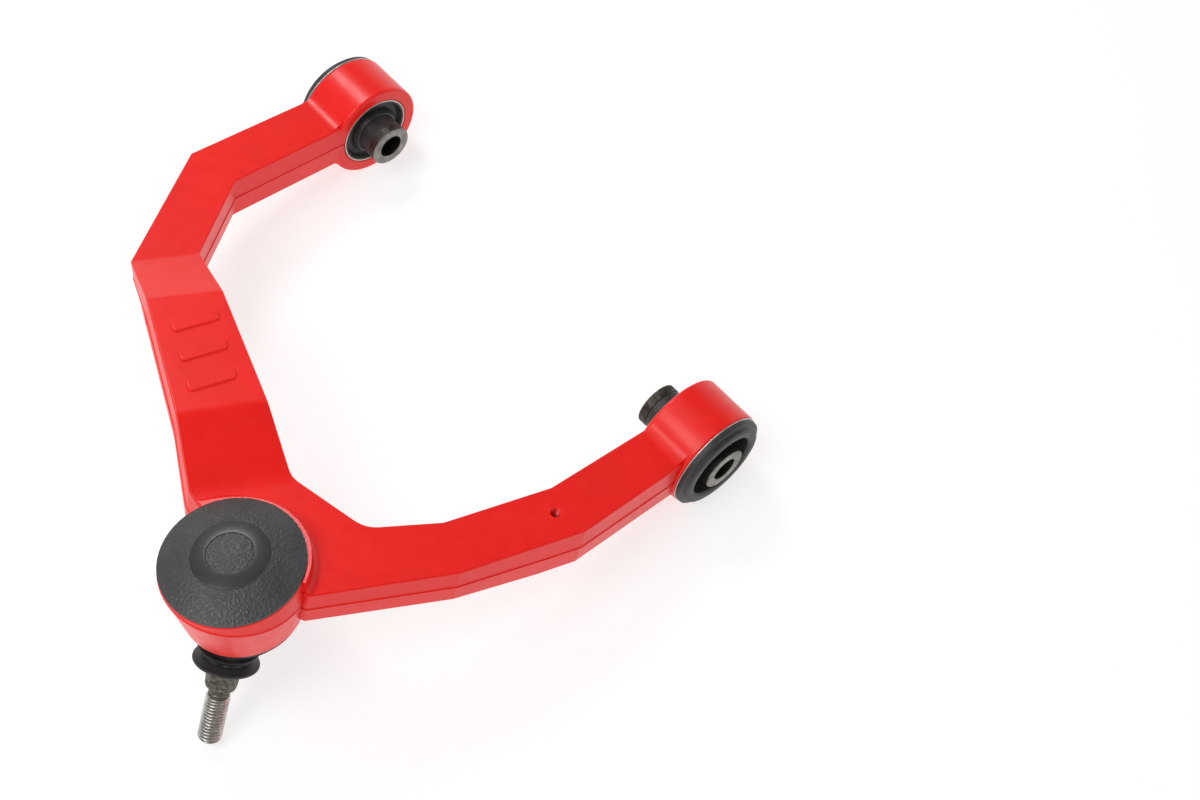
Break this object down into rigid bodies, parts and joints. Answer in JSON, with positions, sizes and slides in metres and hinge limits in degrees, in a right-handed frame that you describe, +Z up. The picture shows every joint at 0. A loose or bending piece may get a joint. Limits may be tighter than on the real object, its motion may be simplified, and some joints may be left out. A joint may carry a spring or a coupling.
{
  "type": "suspension control arm",
  "caption": "Forged two-legged suspension control arm with rubber-bushed pivot eyes and a booted ball joint with a threaded stud.",
  "frame": {"origin": "middle of the short leg's inner sleeve, on the pivot axis", "axes": "+X along the pivot axis from the short leg's bushing to the long leg's, +Y towards the ball joint, +Z up, with the arm standing on its bushing eyes and the stud's tip"},
  "size_m": [0.3348, 0.3201, 0.1072],
  "materials": {
    "red_paint": "satin red coating over forged steel",
    "rubber": "matte moulded rubber",
    "sleeve_steel": "dull phosphated steel with turned ends",
    "shell_steel": "zinc plated pressed steel",
    "cap_plastic": "finely grained moulding",
    "stud_steel": "machined and oiled steel",
    "spring_steel": "black oxide spring steel",
    "seat_plastic": "natural acetal"
  },
  "bodies": {
    "arm": {"arm_forging": "red_paint", "short_shell": "shell_steel", "short_rubber": "rubber", "long_shell": "shell_steel", "long_rubber": "rubber", "dust_cap": "cap_plastic", "cap_seal": "rubber", "retaining_ring": "spring_steel", "cover_plate": "shell_steel", "preload_spring": "spring_steel", "lower_seat": "seat_plastic", "boot_upper_ring": "spring_steel"},
    "short_pivot": {"short_sleeve": "sleeve_steel", "short_sleeve_skin": "rubber"},
    "long_pivot": {"long_sleeve": "sleeve_steel", "long_sleeve_skin": "rubber"},
    "stud_socket": {"upper_seat": "seat_plastic", "dust_boot": "rubber"},
    "stud_collar": {"boot_lower_ring": "spring_steel"},
    "stud": {"ball_stud": "stud_steel"}
  },
  "joints": [
    {"name": "short_bushing_twist", "type": "hinge", "parent": "arm", "child": "short_pivot", "pos_m": [0, 0, 0], "axis": [1, 0, 0], "range_deg": [-28, 28], "stiffness_Nm_per_rad": 40},
    {"name": "long_bushing_twist", "type": "hinge", "parent": "arm", "child": "long_pivot", "pos_m": [0.281, 0, 0], "axis": [1, 0, 0], "range_deg": [-28, 28], "stiffness_Nm_per_rad": 40},
    {"name": "stud_heading", "type": "hinge", "parent": "arm", "child": "stud_socket", "pos_m": [0.06002, 0.24067, 0.04017], "axis": [0.0771, -0.0325, 0.9965], "continuous": true},
    {"name": "stud_lean", "type": "hinge", "parent": "stud_socket", "child": "stud_collar", "pos_m": [0.06002, 0.24067, 0.04017], "axis": [0.919, 0.39, -0.0584], "range_deg": [-35, 3], "deforming": ["dust_boot"]},
    {"name": "stud_spin", "type": "hinge", "parent": "stud_collar", "child": "stud", "pos_m": [0.06002, 0.24067, 0.04017], "axis": [-0.285, 0.5545, -0.7819], "continuous": true}
  ]
}
